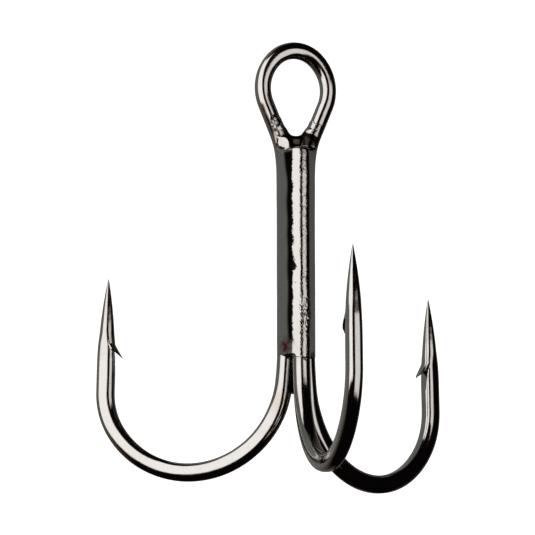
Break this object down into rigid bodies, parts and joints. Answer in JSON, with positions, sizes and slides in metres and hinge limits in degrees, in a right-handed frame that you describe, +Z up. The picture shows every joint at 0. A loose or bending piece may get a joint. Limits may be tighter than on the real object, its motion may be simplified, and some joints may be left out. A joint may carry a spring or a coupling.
{
  "type": "treble hook",
  "caption": "Barbed treble fishing hook: wire hooks set evenly about a brazed shank, with a teardrop eye on top.",
  "frame": {"origin": "centre of the eye's opening, at its widest, in the plane of the double hook's two legs", "axes": "+Z up the shank to the eye; +Y along the eye's axis, away from the single hook, whose bend points to -Y; +X to the right seen from the single hook's side"},
  "size_m": [0.0363, 0.0315, 0.0449],
  "materials": {
    "plated_wire": "bright black-nickel plate over hardened steel wire",
    "plated_braze": "the same black-nickel plate over wetted, slightly rippled filler metal"
  },
  "bodies": {
    "root": {"double_hook": "plated_wire", "single_hook": "plated_wire", "braze": "plated_braze"}
  },
  "joints": []
}
